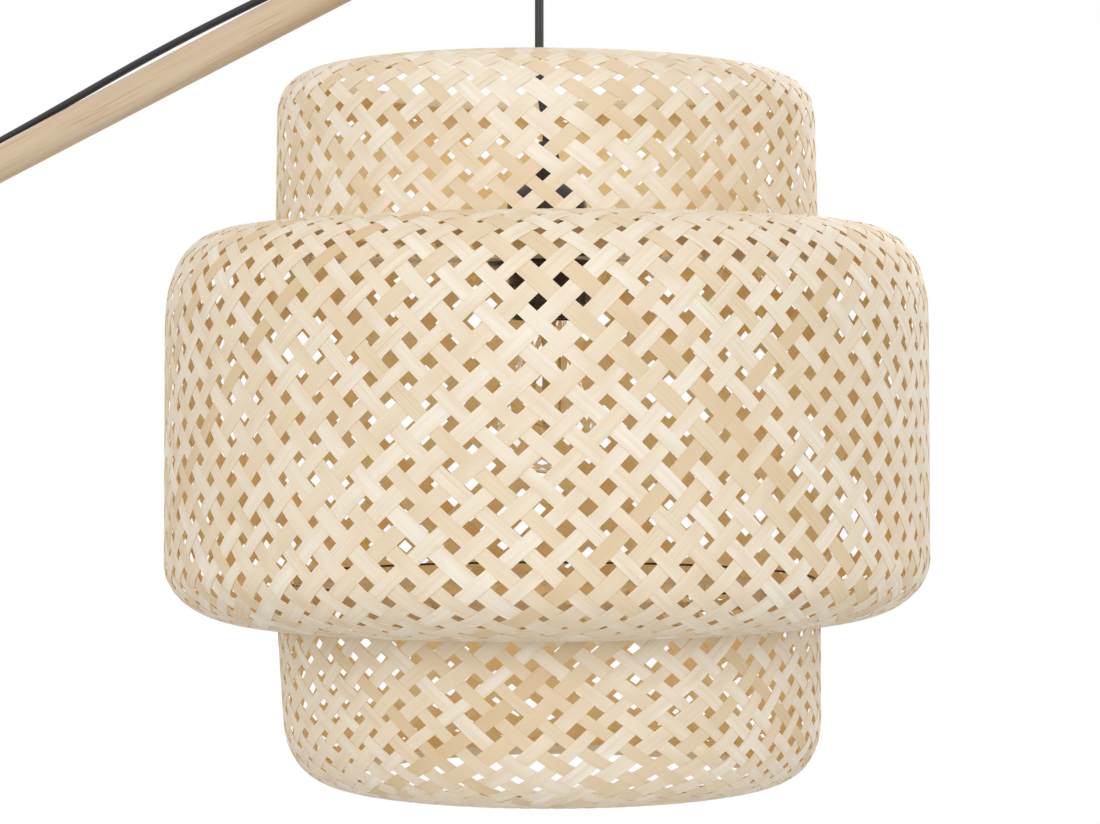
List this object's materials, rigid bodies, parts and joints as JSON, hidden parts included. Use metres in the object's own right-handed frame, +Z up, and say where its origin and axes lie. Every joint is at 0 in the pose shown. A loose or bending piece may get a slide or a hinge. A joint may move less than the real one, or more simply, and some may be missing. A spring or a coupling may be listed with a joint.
{
  "type": "floor lamp",
  "caption": "Floor lamp with a round weighted base, a wooden mast, a tilting wooden arm in a fork, and a tiered shade of woven bamboo strips hanging from the arm on a cord",
  "frame": {"origin": "centre of the base pad's underside, on the floor", "axes": "+Z up along the mast, +X along the arm towards the shade, +Y the side away from the clamp knob"},
  "size_m": [1.0923, 0.5378, 1.7159],
  "materials": {
    "bamboo_strip": "satin woven bamboo strip",
    "bamboo_hoop": "satin split bamboo",
    "pale_wood": "satin oiled beech",
    "black_steel": "black powder coat",
    "grey_steel": "light grey lacquer",
    "plated_steel": "nickel plated",
    "holder_plastic": "black phenolic, glossy",
    "black_plastic": "black nylon",
    "white_plastic": "natural nylon",
    "contact_brass": "plain brass",
    "pad_rubber": "foam pad",
    "plug_rubber": "moulded rubber",
    "cord_sheath": "charcoal flat cord",
    "bulb_envelope": "clear glass",
    "filament_stick": "yellow phosphor sticks on a glass stem"
  },
  "bodies": {
    "base": {"base_pad": "pad_rubber", "base_plate": "black_steel", "mast_bolt": "plated_steel", "mast_socket": "black_steel", "mast_lower": "pale_wood", "mast_sleeve": "black_steel", "mast_upper": "pale_wood", "mast_band_1": "black_plastic", "mast_band_2": "black_plastic", "mast_band_3": "black_plastic", "mast_cord": "cord_sheath", "fork_head": "black_steel", "pivot_washer_far": "white_plastic", "pivot_washer_near": "white_plastic", "knob_washer": "plated_steel", "pivot_bolt": "plated_steel", "cord_loop": "cord_sheath", "lead_run": "cord_sheath", "lead_link": "cord_sheath", "lead_coil": "cord_sheath", "switch_base": "black_plastic", "switch_cover": "black_plastic", "plug_body": "plug_rubber", "plug_pin_1": "plated_steel", "plug_pin_2": "plated_steel"},
    "knob": {"clamp_knob": "black_plastic"},
    "arm": {"arm": "pale_wood", "tail_cap": "black_steel", "saddle_cap": "black_steel", "keeper_pin": "plated_steel", "arm_band_1": "black_plastic", "arm_band_2": "black_plastic", "arm_band_3": "black_plastic", "arm_cord": "cord_sheath"},
    "pendant": {"pendant_cord": "cord_sheath"},
    "shade": {"cord_grip": "holder_plastic", "holder_cap": "holder_plastic", "holder_skirt": "holder_plastic", "flange_ring": "holder_plastic", "lock_ring": "holder_plastic", "socket_insert": "white_plastic", "socket_shell": "contact_brass", "centre_contact": "contact_brass", "carrier": "grey_steel", "shade_upper_rim": "bamboo_strip", "shade_upper": "bamboo_strip", "shade_middle_shoulder": "bamboo_strip", "shade_middle": "bamboo_strip", "shade_middle_foot": "bamboo_strip", "shade_lower": "bamboo_strip", "shade_lower_rim": "bamboo_strip", "rim_hoop_upper": "bamboo_hoop", "rim_hoop_lower": "bamboo_hoop", "cane_hoop": "bamboo_hoop", "inner_hoop": "bamboo_hoop", "wire_ring": "black_steel"},
    "bulb": {"bulb_glass": "bulb_envelope", "bulb_cap": "plated_steel", "bulb_stem": "filament_stick"},
    "button": {"switch_button": "black_plastic"}
  },
  "joints": [
    {"name": "arm_tilt", "type": "hinge", "parent": "base", "child": "arm", "pos_m": [0, 0, 1.478], "axis": [0, -1, 0], "range_deg": [-25, 12], "deforming": ["cord_loop"]},
    {"name": "clamp_knob_turn", "type": "hinge", "parent": "base", "child": "knob", "pos_m": [0, 0, 1.478], "axis": [0, -1, 0], "continuous": true},
    {"name": "pendant_swing", "type": "hinge", "parent": "arm", "child": "pendant", "pos_m": [0.62, 0, 1.6923], "axis": [0, 1, 0], "range_deg": [-35, 15]},
    {"name": "shade_sway", "type": "hinge", "parent": "pendant", "child": "shade", "pos_m": [0.62, 0, 1.5386], "axis": [1, 0, 0], "range_deg": [-15, 15]},
    {"name": "bulb_turn", "type": "hinge", "parent": "shade", "child": "bulb", "pos_m": [0.62, 0, 1.4], "axis": [0, 0, 1], "continuous": true},
    {"name": "switch_press", "type": "slide", "parent": "base", "child": "button", "axis": [0, 0, 1], "range_m": [-0.004, 0], "stiffness_N_per_m": 400, "springref_m": 0.002}
  ]
}
